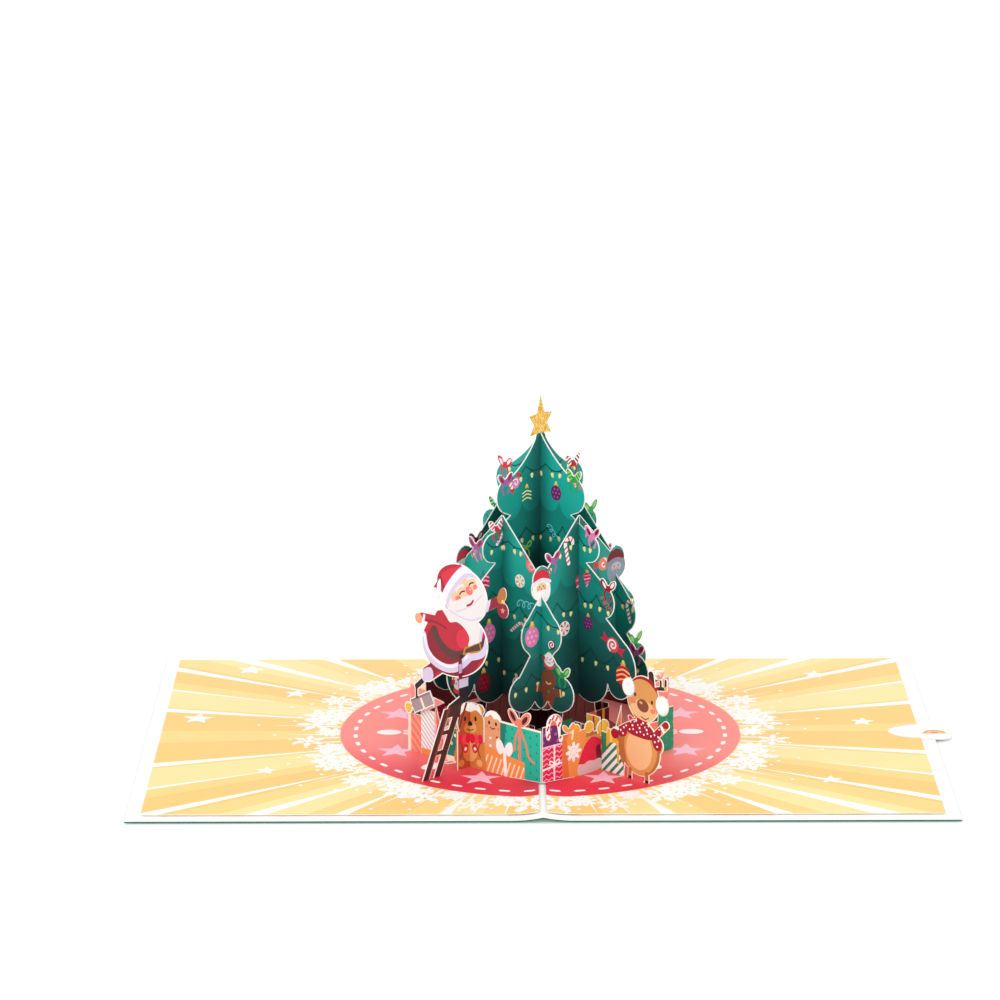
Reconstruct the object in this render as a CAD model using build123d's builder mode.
from build123d import *
import os
from math import atan2, cos, degrees, hypot, radians, sin, tau

# A pop up card, open and lying flat. X runs across the two leaves, Y away from the reader, Z up.
# The origin is under the middle of the fold, on the surface the card lies on.

# Cover: one folded sheet with a soft raised fold
leaf_width = 152.4
card_depth = 203.2
cover_stock = 0.4
ridge_height = 1.2
ridge_reach = 12.0
ridge_curve_shares = [(0.55, 0.0), (0.25, 0.45)]

# Paper stocks and clearances
panel_stock = 0.35
liner_stock = 0.25
note_stock = 0.3
fit_clearance = 0.08
slot_clearance = 0.12
overrun = 5.0

# Printed linings, held off the cover by strips of tape
liner_inset = 5.5
fold_strip = 1.35
tape_inset = 1.0
tape_width = 5.0
tape_fold_inset = 1.0
pocket_wall_x = 62.0
pocket_mouth = 118.0
notch_reach = 12.0
notch_width = 17.0

# Note card in the pocket of the right leaf
note_depth = 108.0
note_side_clearance = 2.0
note_corner = 3.0
note_tab_reach = 6.5
note_tab_width = 18.0
note_tab_corner = 4.0

# Slotted tree: two panels through the middle and four beside them
tree_height = 120.0
main_reach = 50.5
side_height = 92.5
side_reach = 37.8
panel_spacing = 20.5
main_meet = 60.0
side_meet = 57.0
outer_meet = 42.0
trunk_top_half = 8.0
trunk_foot_half = 11.0
trunk_foot_clearance = 0.35
pile_half = 17.0
pile_height = 12.0

# Each tier of a panel: its start, waist if it has one, brow, tip and heel,
# as shares of the reach and the height
main_tier_shares = [
    ((0.000, 1.042), (0.170, 0.930), (0.301, 0.888), (0.471, 0.827), (0.402, 0.774)),
    ((0.325, 0.760), (0.501, 0.717), (0.618, 0.660), (0.547, 0.623)),
    ((0.487, 0.617), (0.673, 0.560), (0.776, 0.507), (0.725, 0.458)),
    ((0.693, 0.452), (0.883, 0.388), (1.000, 0.287), (0.921, 0.217)),
]
side_tier_shares = [
    ((0.000, 1.000), (0.463, 0.803), (0.529, 0.770), (0.540, 0.724)),
    ((0.542, 0.703), (0.730, 0.616), (0.825, 0.530), (0.738, 0.471)),
    ((0.704, 0.454), (0.852, 0.378), (1.000, 0.292), (0.889, 0.234)),
]
# Where the tip of a middle panel stops: panel a goes on into the star
main_tip_shares = {"tree_panel_a_middle": 1.042, "tree_panel_b_middle": 1.010}
# Scallops along the bottom of a panel: middle and end of each
main_hem_shares = [
    ((0.824, 0.197), (0.713, 0.238)),
    ((0.554, 0.161), (0.386, 0.187)),
    ((0.285, 0.160), (0.198, 0.192)),
]
side_hem_shares = [
    ((0.780, 0.222), (0.635, 0.254)),
    ((0.423, 0.200), (0.265, 0.227)),
]

# Heads cut with the side panels where those cross, and small trims that stand out of the edges
head_half_width = 5.3
head_half_height = 5.2
head_share = 0.733
hat_reach = 3.2
trim_size = 5.2
main_trim_shares = [
    (0.354, 0.872), (-0.376, 0.864), (0.547, 0.703),
    (-0.473, 0.720), (0.711, 0.543), (-0.844, 0.387),
]
side_trim_shares = [(-0.380, 0.822), (0.840, 0.374)]

# Star at the top of the tree, cut with middle panel a: its reaches and their shares of a full turn
star_spike = 10.9
star_shoulder = 4.4
star_arm = 7.1
star_side = 3.5
star_leg = 7.3
star_turn_shares = [1 / 4, 31 / 180, 1 / 12, -1 / 60, -37 / 360, -1 / 4]
star_rise = 4.5

# Fence of presents: its corners in plan, and the height of its presents
fence_front_y = 65.0
fence_side_x = 50.5
fence_side_y = 21.0
fence_fold_x = 37.0
present_height = 20.0
fence_joint_clearance = 0.1

# Ribbon bow: places and radii of its knot and loops as shares of its span, and their tilt
knot_share = 0.20
loop_spread_share = 0.40
loop_height_share = 0.45
loop_long_share = 0.50
loop_short_share = 0.27
loop_tilt = 52.0
ear_spread_share = 0.70

# Presents along each wall: kind, start, width and height, as shares of the wall's length and present_height
front_left_shares = [
    ("box", 0.000, 0.305, 1.12), ("bow", 0.166, 0.108, 1.10),
    ("box", 0.300, 0.115, 0.80), ("head", 0.362, 0.064, 1.06),
    ("box", 0.410, 0.175, 0.62), ("bear", 0.530, 0.103, 0.98),
    ("box", 0.580, 0.130, 0.74), ("cone", 0.655, 0.105, 1.02),
    ("box", 0.700, 0.110, 0.70), ("cone", 0.765, 0.090, 1.00),
    ("box", 0.800, 0.105, 0.95), ("box", 0.900, 0.100, 0.81),
]
front_right_shares = [
    ("box", 0.000, 0.135, 1.20), ("arch", 0.088, 0.056, 1.40),
    ("box", 0.130, 0.200, 0.95), ("bow", 0.196, 0.060, 0.96),
    ("head", 0.250, 0.034, 0.98), ("head", 0.350, 0.034, 0.97),
    ("box", 0.300, 0.130, 0.86), ("head", 0.455, 0.048, 0.88),
    ("box", 0.420, 0.140, 0.80), ("cone", 0.560, 0.110, 1.05),
    ("box", 0.600, 0.150, 0.82), ("bow", 0.690, 0.055, 0.82),
    ("box", 0.740, 0.150, 0.70), ("box", 0.880, 0.120, 0.92),
]
back_shares = [
    ("box", 0.000, 0.210, 0.95), ("bow", 0.105, 0.060, 0.95),
    ("box", 0.200, 0.140, 0.70), ("cone", 0.330, 0.105, 1.08),
    ("box", 0.330, 0.180, 0.84), ("bow", 0.440, 0.050, 0.84),
    ("box", 0.500, 0.160, 0.62), ("head", 0.600, 0.052, 0.80),
    ("box", 0.650, 0.190, 0.94), ("bow", 0.745, 0.055, 0.94),
    ("box", 0.830, 0.170, 0.72),
]
return_wall_shares = [("box", 0.000, 0.450, 0.86), ("bow", 0.250, 0.130, 0.86), ("box", 0.430, 0.570, 0.66)]

# Cross plates: each crosses a front wall of the fence at a share of its length
ladder_cross_share = 0.535
reindeer_cross_share = 0.447
plate_meet = 11.0
ladder_heading = 45.0
reindeer_heading = -45.0

# Ladder, measured along its plate from the fence, with a boot and a leg that carry the figure
ladder_height = 26.8
ladder_shares = [(-0.937, 0.0), (-0.504, 1.0), (-0.150, 1.0), (-0.586, 0.0)]
rail_share = 0.135
rung_height = 2.1
rung_shares = [0.36, 0.64, 0.88]
boot_shares = (-0.380, 0.985, -0.190, 1.060, 0.125)
mast_offset = 4.0
mast_lead = 1.7
mast_width = 4.8
mast_height = 46.0
mast_meet = 41.5
plate_bear_size = 13.2
plate_bridge = 3.0
plate_presents_shares = [(0.05, 0.42, 1.18), (0.40, 0.60, 0.92)]
plate_inner_reach = 14.0

# Figure on the ladder: ovals and limbs as shares of figure_size, from the mast's line and the figure's foot
figure_size = 52.0
figure_foot = 31.0
figure_ovals_shares = [
    (-0.073, 0.358, 0.346, 0.248, 16), (0.038, 0.735, 0.225, 0.204, 0), (-0.044, 0.819, 0.212, 0.144, 8),
    (-0.275, 0.690, 0.048, 0.048, 0), (-0.442, 0.473, 0.046, 0.046, 0), (0.412, 0.815, 0.038, 0.062, -20),
    (0.419, 0.706, 0.054, 0.058, 0), (-0.556, -0.231, 0.042, 0.044, 0),
]
figure_limbs_shares = [
    (-0.144, 0.538, -0.212, 0.519, 0.135), (-0.173, 0.504, -0.404, 0.492, 0.077),
    (0.173, 0.654, 0.396, 0.781, 0.069), (-0.221, 0.162, -0.354, 0.069, 0.123),
    (-0.358, 0.050, -0.469, -0.050, 0.054), (-0.471, -0.046, -0.471, -0.154, 0.035),
    (0.415, 0.788, 0.419, 0.731, 0.031), (-0.183, 0.819, -0.258, 0.719, 0.085),
]
figure_parcel_shares = (-0.413, -0.158, 0.242, 0.112, 28)

# Reindeer beside the fence: ovals and limbs as shares of reindeer_size, from the fence and the liner
reindeer_size = 43.0
reindeer_ovals_shares = [
    (0.497, 0.778, 0.192, 0.212, 0), (0.323, 0.853, 0.075, 0.084, 0), (0.718, 0.765, 0.072, 0.088, 0),
    (0.460, 0.330, 0.245, 0.256, 0), (0.672, 0.395, 0.065, 0.075, 0), (0.180, 0.400, 0.060, 0.060, 0),
]
reindeer_limbs_shares = [
    (0.600, 0.935, 0.586, 1.020, 0.072), (0.660, 0.910, 0.758, 0.928, 0.044),
    (0.700, 0.925, 0.700, 0.985, 0.036), (0.756, 0.928, 0.757, 1.000, 0.038),
    (0.640, 0.480, 0.765, 0.600, 0.080), (0.320, 0.490, 0.205, 0.415, 0.095),
    (0.345, 0.100, 0.345, 0.026, 0.052), (0.545, 0.080, 0.545, 0.026, 0.052),
]
striped_parcel_shares = [
    (0.0, 0.0), (0.270, 0.0), (0.290, 0.190), (0.200, 0.275), (0.110, 0.265), (0.0, 0.140),
]
yellow_parcel_shares = (0.146, 0.325, 0.160, 0.200, 0)
reindeer_presents_shares = [(0.05, 0.50, 1.08), (0.48, 0.52, 0.85)]

# Tabs that pass through slits in the linings
tab_width = 4.0
small_tab_width = 1.8
main_tab_offset = 9.0
side_tab_offset = 7.0
wall_tab_shares = [0.30, 0.62, 0.90]
return_tab_share = 0.5
inner_tab_share = 0.55

# Levels and places that follow from the sizes above
liner_gap = panel_stock + 2 * fit_clearance
liner_level = cover_stock + liner_gap
stand_level = liner_level + liner_stock
fold_stand_level = stand_level + ridge_height
tab_foot_level = cover_stock + fit_clearance
tab_inner_x = (main_tab_offset - tab_width / 2) * cos(radians(45))
main_tab_rise = ridge_height * (1 - tab_inner_x / ridge_reach)
head_height = head_share * side_height
plate_bridge_height = plate_bear_size * 1.25
star_centre_height = tree_height + star_rise
star_top = star_centre_height + star_spike
slot_width = panel_stock + 2 * slot_clearance
lattice = panel_spacing * cos(radians(45))
liner_edge_x = leaf_width - liner_inset
liner_depth = card_depth - 2 * liner_inset

os.makedirs("parts", exist_ok=True)


def upright(x, y, heading, level=0.0):
    """A standing plane through (x, y): its own x runs along the heading and its own y runs up."""
    turn = radians(heading)
    return Plane(origin=(x, y, level), x_dir=(cos(turn), sin(turn), 0), z_dir=(sin(turn), -cos(turn), 0))


def along(x, y, heading, distance):
    turn = radians(heading)
    return (x + distance * cos(turn), y + distance * sin(turn))


def wall_place(start, end):
    """Length and heading of a wall in plan."""
    run_x = end[0] - start[0]
    run_y = end[1] - start[1]
    return hypot(run_x, run_y), degrees(atan2(run_y, run_x))


def save(builder, name):
    builder.part.label = name
    export_step(builder.part, f"parts/{name}.step")


def ridge_line(level, reach=leaf_width):
    """The top or underside of a sheet that lies over both leaves and rises at the fold."""
    curve = [(ridge_reach * a, ridge_height * b) for a, b in ridge_curve_shares]
    near = [(ridge_reach, 0.0), *curve, (0.0, ridge_height)]
    right = [(x, level + z) for x, z in near]
    left = [(-x, z) for x, z in reversed(right)]
    Line((reach, level), right[0])
    Bezier(*right)
    Bezier(*left)
    Line(left[-1], (-reach, level))


def folded_sheet(level, stock, depth):
    """A full width sheet that follows the raised fold."""
    with BuildPart() as sheet:
        with BuildSketch(Plane.XZ.offset(-depth / 2)):
            with BuildLine():
                ridge_line(level)
                ridge_line(level + stock)
                Line((leaf_width, level), (leaf_width, level + stock))
                Line((-leaf_width, level), (-leaf_width, level + stock))
            make_face()
        extrude(amount=depth)
    return sheet


# Places of the standing pieces, shared by the pieces, their tabs and the slits
main_panels = {"tree_panel_a_middle": (0.0, 0.0, 45.0), "tree_panel_b_middle": (0.0, 0.0, -45.0)}
side_panels = {
    "tree_panel_a_front": (lattice, -lattice, 45.0),
    "tree_panel_a_back": (-lattice, lattice, 45.0),
    "tree_panel_b_front": (-lattice, -lattice, -45.0),
    "tree_panel_b_back": (lattice, lattice, -45.0),
}
fence_walls = {}
for side, side_sign in (("left", -1), ("right", 1)):
    for end, end_sign in (("front", -1), ("back", 1)):
        middle = (0.0, end_sign * fence_front_y)
        corner = (side_sign * fence_side_x, end_sign * fence_side_y)
        fold = (side_sign * fence_fold_x, 0.0)
        fence_walls[f"gift_fence_{end}_{side}"] = (middle, corner, fold)


def cross_place(name, share):
    middle, corner, _ = fence_walls[name]
    length, heading = wall_place(middle, corner)
    return along(*middle, heading, share * length)


ladder_x, ladder_y = cross_place("gift_fence_front_left", ladder_cross_share)
reindeer_x, reindeer_y = cross_place("gift_fence_front_right", reindeer_cross_share)
figure_x, figure_y = along(ladder_x, ladder_y, ladder_heading, -mast_offset)

# Slits: x, y, heading and length of each
slits = []
for x, y, heading in main_panels.values():
    slits += [(*along(x, y, heading, s * main_tab_offset), heading, tab_width) for s in (-1, 1)]
for x, y, heading in side_panels.values():
    slits += [(*along(x, y, heading, s * side_tab_offset), heading, tab_width) for s in (-1, 1)]
for middle, corner, fold in fence_walls.values():
    length, heading = wall_place(middle, corner)
    slits += [(*along(*middle, heading, share * length), heading, tab_width) for share in wall_tab_shares]
    length, heading = wall_place(corner, fold)
    slits.append((*along(*corner, heading, return_tab_share * length), heading, tab_width))
inner_tab_offset = inner_tab_share * plate_inner_reach
rail_centre_share = rail_share / 2
foot_shares = [ladder_shares[0][0] + rail_centre_share, ladder_shares[-1][0] - rail_centre_share]
ladder_tab_offsets = [*[share * ladder_height for share in foot_shares], inner_tab_offset]
for offset in ladder_tab_offsets:
    slits.append((*along(ladder_x, ladder_y, ladder_heading, offset), ladder_heading, small_tab_width))
leg_offsets = [limb[0] * reindeer_size for limb in reindeer_limbs_shares[-2:]]
reindeer_tab_offsets = [*leg_offsets, -inner_tab_offset]
for offset in reindeer_tab_offsets:
    spot = along(reindeer_x, reindeer_y, reindeer_heading, offset)
    slits.append((*spot, reindeer_heading, small_tab_width))


# Cover: one sheet, scored and folded
cover = folded_sheet(0.0, cover_stock, card_depth)
save(cover, "cover")


def liner(side, notched):
    """A printed lining on one leaf, slit for the tabs. The right one has the thumb notch."""
    inner = fold_strip
    with BuildPart() as sheet:
        add(folded_sheet(liner_level, liner_stock, liner_depth).part)
        with BuildSketch(Plane.XY):
            with Locations((side * (inner + liner_edge_x) / 2, 0)):
                Rectangle(liner_edge_x - inner, liner_depth)
        extrude(amount=tree_height, mode=Mode.INTERSECT)
        with BuildSketch(Plane.XY):
            for x, y, heading, width in slits:
                if x * side > 0:
                    with Locations(Location((x, y, 0), (0, 0, heading))):
                        Rectangle(width + 2 * fit_clearance, panel_stock + 2 * fit_clearance)
            if notched:
                with Locations((side * liner_edge_x, 0)):
                    Ellipse(notch_reach, notch_width / 2)
        extrude(amount=tree_height, mode=Mode.SUBTRACT)
    return sheet


save(liner(-1, False), "liner_left")
save(liner(1, True), "liner_right")


def tape(side, pocket):
    """A flat frame of tape between a lining and the cover. On the right it shapes the open pocket."""
    outer_x = liner_edge_x - tape_inset
    inner_x = ridge_reach + tape_fold_inset
    outer_depth = liner_depth - 2 * tape_inset
    inner_depth = outer_depth - 2 * tape_width
    with BuildPart() as frame:
        with BuildSketch(Plane.XY.offset(cover_stock)):
            with Locations((side * (inner_x + outer_x) / 2, 0)):
                Rectangle(outer_x - inner_x, outer_depth)
            with Locations((side * (inner_x + outer_x) / 2, 0)):
                Rectangle(outer_x - inner_x - 2 * tape_width, inner_depth, mode=Mode.SUBTRACT)
            with Locations((side * (inner_x + tape_width / 2), 0)):
                Rectangle(tape_width + fit_clearance, inner_depth, mode=Mode.SUBTRACT)
            if pocket:
                with Locations((side * (pocket_wall_x + tape_width / 2), 0)):
                    Rectangle(tape_width, outer_depth)
                with Locations((side * (outer_x - tape_width / 2), 0)):
                    Rectangle(tape_width + fit_clearance, pocket_mouth, mode=Mode.SUBTRACT)
        extrude(amount=liner_gap)
    return frame


save(tape(-1, False), "tape_left")
save(tape(1, True), "tape_right")

# Note card: slides out of the pocket to the right by its tab
note_start = pocket_wall_x + tape_width + note_side_clearance
note_end = liner_edge_x
note_level = cover_stock + (liner_gap - note_stock) / 2
with BuildPart() as note_card:
    with BuildSketch(Plane.XY.offset(note_level)):
        with Locations(((note_start + note_end) / 2, 0)):
            RectangleRounded(note_end - note_start, note_depth, note_corner)
        tab_end = leaf_width + note_tab_reach
        tab_start = note_end - 2 * note_tab_corner
        with Locations(((tab_start + tab_end) / 2, 0)):
            RectangleRounded(tab_end - tab_start, note_tab_width, note_tab_corner)
    extrude(amount=note_stock)
save(note_card, "note_card")


def oval(x, y, half_width, half_height, angle=0):
    with Locations((x, y)):
        Ellipse(half_width, half_height, rotation=angle)


def limb(x1, y1, x2, y2, width):
    with Locations(((x1 + x2) / 2, (y1 + y2) / 2)):
        SlotCenterToCenter(hypot(x2 - x1, y2 - y1), width, rotation=degrees(atan2(y2 - y1, x2 - x1)))


def upright_box(start, width, height, foot=0.0):
    with Locations((start + width / 2, (foot + height) / 2)):
        Rectangle(width, height - foot)


def slot_from_below(x, meet):
    """A slot open at the bottom, up to just past the height where the two panels meet."""
    top = meet + slot_clearance
    with Locations((x, (top - overrun) / 2)):
        Rectangle(slot_width, top + overrun, mode=Mode.SUBTRACT)


def slot_from_above(x, meet, top):
    foot = meet - slot_clearance
    with Locations((x, (foot + top + overrun) / 2)):
        Rectangle(slot_width, top + overrun - foot, mode=Mode.SUBTRACT)


def tab(x, root, width, foot=tab_foot_level):
    """A tab that hangs from the root height through the lining to the cover."""
    with Locations((x, (foot + root) / 2)):
        Rectangle(width, root - foot)


def bow(x, foot, span):
    """Two loops of ribbon, tilted up to each side of a knot."""
    oval(x, foot + span * knot_share, span * knot_share, span * loop_short_share)
    for turn in (-1, 1):
        loop_x = x + turn * span * loop_spread_share
        loop_z = foot + span * loop_height_share
        oval(loop_x, loop_z, span * loop_long_share, span * loop_short_share, turn * loop_tilt)


def half_tree(reach, height, tiers, hem, trunk_foot, tip_share=1.0):
    """The right half of a tree panel: tiers down the edge, scallops along the bottom, then the trunk."""
    tip_point = (0, height * tip_share)
    point = None
    for tier in tiers:
        start, *waist, brow, tip, heel = [(reach * a, height * b) for a, b in tier]
        if point:
            Line(point, start)
        else:
            start = tip_point
        if waist:
            ThreePointArc(start, waist[0], brow)
        else:
            Line(start, brow)
        ThreePointArc(brow, tip, heel)
        point = heel
    for middle, end in hem:
        end_point = (reach * end[0], height * end[1])
        ThreePointArc(point, (reach * middle[0], height * middle[1]), end_point)
        point = end_point
    foot_point = (trunk_foot_half, trunk_foot)
    Polyline(point, (trunk_top_half, point[1]), foot_point, (0, trunk_foot), tip_point)


def star_points():
    """Outline of the star: a long spike, two arms, two legs and the waists between them."""
    reaches = [star_spike, star_shoulder, star_arm, star_side, star_leg, star_side]
    right = [(r * cos(tau * a), r * sin(tau * a)) for r, a in zip(reaches, star_turn_shares)]
    left = [(-x, y) for x, y in reversed(right[1:-1])]
    return [(x, y + star_centre_height) for x, y in right + left]


# Middle panels of the tree. Panel a takes panel b from below, and both take the side panels from below.
for name, (x, y, heading) in main_panels.items():
    with BuildPart() as panel:
        trunk_foot = fold_stand_level + trunk_foot_clearance
        with BuildSketch(upright(x, y, heading)):
            with BuildLine():
                tip_share = main_tip_shares[name]
                half_tree(main_reach, tree_height, main_tier_shares, main_hem_shares, trunk_foot, tip_share)
            make_face()
            mirror(about=Plane.YZ)
            if "panel_a" in name:
                with BuildLine():
                    Polyline(*star_points(), close=True)
                make_face()
            for share, height_share in main_trim_shares:
                bow(share * main_reach, height_share * tree_height, trim_size)
            for offset in (-main_tab_offset, main_tab_offset):
                tab(offset, trunk_foot + tab_width, tab_width, tab_foot_level + main_tab_rise)
            for offset in (-panel_spacing, panel_spacing):
                slot_from_below(offset, side_meet)
            if "panel_a" in name:
                slot_from_below(0, main_meet)
            else:
                slot_from_above(0, main_meet, star_top)
        extrude(amount=panel_stock / 2, both=True)
    save(panel, name)

# Side panels. The a panels carry the heads, and take the b panels from below at their ends.
for name, (x, y, heading) in side_panels.items():
    with BuildPart() as panel:
        trunk_foot = stand_level + ridge_height / 2 + trunk_foot_clearance
        with BuildSketch(upright(x, y, heading)):
            with BuildLine():
                half_tree(side_reach, side_height, side_tier_shares, side_hem_shares, trunk_foot)
            make_face()
            mirror(about=Plane.YZ)
            upright_box(-pile_half, 2 * pile_half, pile_height, trunk_foot)
            for share, height_share in side_trim_shares:
                bow(share * side_reach, height_share * side_height, trim_size)
            for offset in (-side_tab_offset, side_tab_offset):
                tab(offset, trunk_foot + tab_width, tab_width)
            slot_from_above(0, side_meet, side_height)
            for offset in (-panel_spacing, panel_spacing):
                if "panel_a" in name:
                    oval(offset, head_height, head_half_width, head_half_height)
                    oval(offset, head_height + hat_reach, head_half_width - slot_width, head_half_height)
                    slot_from_below(offset, outer_meet)
                else:
                    slot_from_above(offset, outer_meet, side_height)
        extrude(amount=panel_stock / 2, both=True)
    save(panel, name)


def present(kind, start, width, height):
    """One present's outline on a wall, standing on the wall's foot."""
    if kind == "box":
        upright_box(start, width, height, stand_level)
    elif kind == "bow":
        bow(start, height, width)
    elif kind == "cone":
        with Locations((start, height / 2)):
            Triangle(a=width, b=height, C=90)
    elif kind == "arch":
        oval(start, height - width, width, width)
    elif kind == "head":
        oval(start, height, width, width)
        upright_box(start - width, 2 * width, height, stand_level)
    elif kind == "bear":
        oval(start, height, width, width)
        for turn in (-1, 1):
            ear_x = start + turn * width * ear_spread_share
            oval(ear_x, height + width * ear_spread_share, width / 3, width / 3)
        upright_box(start - width, 2 * width, height, stand_level)


def wall_sketch(length, shares, front_end, back_end):
    for kind, start, width, height in shares:
        present(kind, start * length, width * length, height * present_height)
    upright_box(-front_end, front_end + length + back_end, present_height / 2, stand_level)


# Fence of presents: four folded strips round the tree
front_shares = {"gift_fence_front_left": front_left_shares, "gift_fence_front_right": front_right_shares}
for name, (middle, corner, fold) in fence_walls.items():
    shares = front_shares.get(name, back_shares)
    runs_through = "right" in name
    with BuildPart() as strip:
        length, heading = wall_place(middle, corner)
        with BuildSketch(upright(*middle, heading)):
            wall_sketch(length, shares, 0, panel_stock / 2)
            ramp = ridge_reach * length / fence_side_x
            with BuildLine():
                Polyline((-overrun, -overrun), (-overrun, fold_stand_level), (0, fold_stand_level),
                         (ramp, stand_level), (ramp, -overrun), close=True)
            make_face(mode=Mode.SUBTRACT)
            for share in wall_tab_shares:
                tab(share * length, stand_level + tab_width, tab_width)
            if name == "gift_fence_front_left":
                slot_from_above(ladder_cross_share * length, plate_meet, 2 * present_height)
            if name == "gift_fence_front_right":
                slot_from_above(reindeer_cross_share * length, plate_meet, 2 * present_height)
            cut_back = panel_stock / 2 if runs_through else panel_stock + fence_joint_clearance
            with Locations(((cut_back - overrun) / 2, present_height)):
                Rectangle(cut_back + overrun, 2 * present_height, mode=Mode.SUBTRACT)
        extrude(amount=panel_stock / 2, both=True)
        length, heading = wall_place(corner, fold)
        with BuildSketch(upright(*corner, heading)):
            wall_sketch(length, return_wall_shares, 0, 0)
            tab(return_tab_share * length, stand_level + tab_width, tab_width)
            with Locations((length - fence_joint_clearance, present_height)):
                Rectangle(2 * fence_joint_clearance + panel_stock, 2 * present_height, mode=Mode.SUBTRACT)
        extrude(amount=panel_stock / 2, both=True)
    save(strip, name)

# Ladder plate: crosses the left front wall, with the ladder in front and presents behind
with BuildPart() as ladder_plate:
    with BuildSketch(upright(ladder_x, ladder_y, ladder_heading)):
        ladder_rise = ladder_height - stand_level
        corners = [(a * ladder_height, stand_level + b * ladder_rise) for a, b in ladder_shares]
        with BuildLine():
            Polyline(*corners, close=True)
        make_face()
        low_left, top_left, top_right, low_right = [Vector(*c) for c in corners]
        rail = Vector(rail_share * ladder_height, 0)
        levels = [0.0, *rung_shares]
        rung_step = rung_height / 2 / ladder_height
        for low, high in zip(levels[:-1], levels[1:]):
            low_end = low + rung_step if low else low - rung_step
            sides = []
            for share in (low_end, high - rung_step):
                sides.append(low_left + (top_left - low_left) * share + rail)
                sides.append(low_right + (top_right - low_right) * share - rail)
            with BuildLine():
                Polyline(sides[0], sides[2], sides[3], sides[1], close=True)
            make_face(mode=Mode.SUBTRACT)
        upright_box(-mast_offset - mast_lead, mast_width, mast_height, ladder_height / 2)
        limb(*[share * ladder_height for share in boot_shares])
        bear_half = plate_bear_size / 2
        oval(0, 3 * bear_half, bear_half, bear_half)
        upright_box(-bear_half, bear_half + plate_bridge, plate_bridge_height, stand_level)
        for start, width, height in plate_presents_shares:
            box_height = height * present_height
            upright_box(start * plate_inner_reach, width * plate_inner_reach, box_height, stand_level)
        slot_from_below(0, plate_meet)
        slot_from_above(-mast_offset, mast_meet, mast_height)
        for offset in ladder_tab_offsets:
            tab(offset, stand_level + small_tab_width, small_tab_width)
    extrude(amount=panel_stock / 2, both=True)
save(ladder_plate, "ladder_plate")


def scaled(shares, size, foot):
    """Shares of a figure's size as lengths, with its heights counted from its foot."""
    return [size * value + (foot if place == 1 else 0) for place, value in enumerate(shares)]


# Figure plate: sits on the ladder's mast
with BuildPart() as figure_plate:
    with BuildSketch(upright(figure_x, figure_y, -ladder_heading)):
        for *shares, angle in figure_ovals_shares:
            oval(*scaled(shares, figure_size, figure_foot), angle)
        for x1, z1, x2, z2, width in figure_limbs_shares:
            start = scaled((x1, z1), figure_size, figure_foot)
            end = scaled((x2, z2), figure_size, figure_foot)
            limb(*start, *end, width * figure_size)
        *shares, angle = figure_parcel_shares
        parcel_x, parcel_z, parcel_width, parcel_height = scaled(shares, figure_size, figure_foot)
        with Locations((parcel_x, parcel_z)):
            Rectangle(parcel_width, parcel_height, rotation=angle)
        with Locations((0, (mast_meet + slot_clearance) / 2)):
            Rectangle(slot_width, mast_meet + slot_clearance, mode=Mode.SUBTRACT)
    extrude(amount=panel_stock / 2, both=True)
save(figure_plate, "figure_plate")

# Reindeer plate: crosses the right front wall, with a striped parcel at its foot
with BuildPart() as reindeer_plate:
    with BuildSketch(upright(reindeer_x, reindeer_y, reindeer_heading)):
        for *shares, angle in reindeer_ovals_shares:
            oval(*scaled(shares, reindeer_size, 0), angle)
        for limb_shares in reindeer_limbs_shares:
            limb(*[share * reindeer_size for share in limb_shares])
        with BuildLine():
            size = reindeer_size
            corners = [(a * size, stand_level + b * size) for a, b in striped_parcel_shares]
            Polyline(*corners, close=True)
        make_face()
        *shares, angle = yellow_parcel_shares
        parcel_x, parcel_z, parcel_width, parcel_height = scaled(shares, reindeer_size, 0)
        with Locations((parcel_x, parcel_z)):
            Rectangle(parcel_width, parcel_height, rotation=angle)
        for start, width, height in reindeer_presents_shares:
            span = width * plate_inner_reach
            upright_box(-start * plate_inner_reach - span, span, height * present_height, stand_level)
        upright_box(-plate_bridge, 2 * plate_bridge, plate_bridge_height, stand_level)
        slot_from_below(0, plate_meet)
        with Locations((0, (stand_level - overrun) / 2)):
            Rectangle(2 * reindeer_size, stand_level + overrun, mode=Mode.SUBTRACT)
        for offset in reindeer_tab_offsets:
            tab(offset, stand_level + small_tab_width, small_tab_width)
    extrude(amount=panel_stock / 2, both=True)
save(reindeer_plate, "reindeer_plate")
